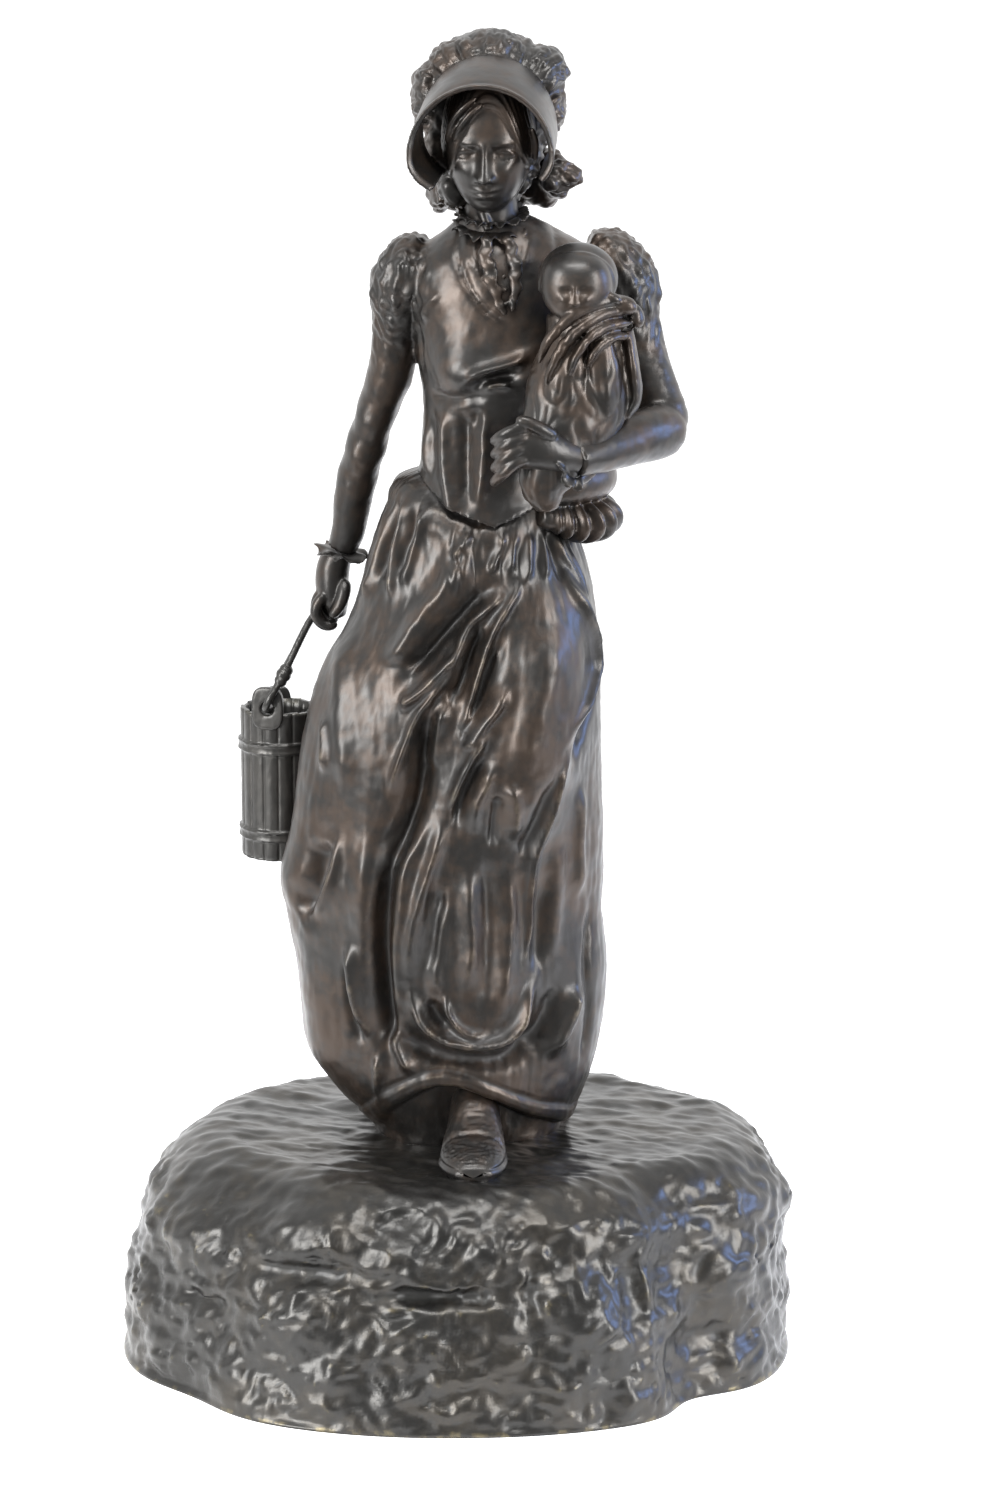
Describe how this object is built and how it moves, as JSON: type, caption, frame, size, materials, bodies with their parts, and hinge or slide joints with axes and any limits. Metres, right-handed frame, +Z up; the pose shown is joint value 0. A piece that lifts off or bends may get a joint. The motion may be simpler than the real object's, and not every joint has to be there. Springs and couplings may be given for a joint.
{
  "type": "mother and child sculpture",
  "caption": "Cast bronze statuette of a striding woman in a sun bonnet and long dress, with a wrapped baby on one arm and a staved pail in the other hand, on a rough ground base.",
  "frame": {"origin": "on the floor under the middle of the ground base", "axes": "+Z up, -Y the way the woman faces, +X to the right as one looks at her front"},
  "size_m": [0.348, 0.296, 0.6796],
  "materials": {
    "figure_bronze": "dark brown patina, waxed",
    "ground_bronze": "brown-green patina, rough cast",
    "pail_bronze": "dark grey-brown patina, satin"
  },
  "bodies": {
    "root": {"figure": "figure_bronze", "rocky_base": "ground_bronze", "bucket": "pail_bronze", "bucket_handle": "pail_bronze"}
  },
  "joints": []
}
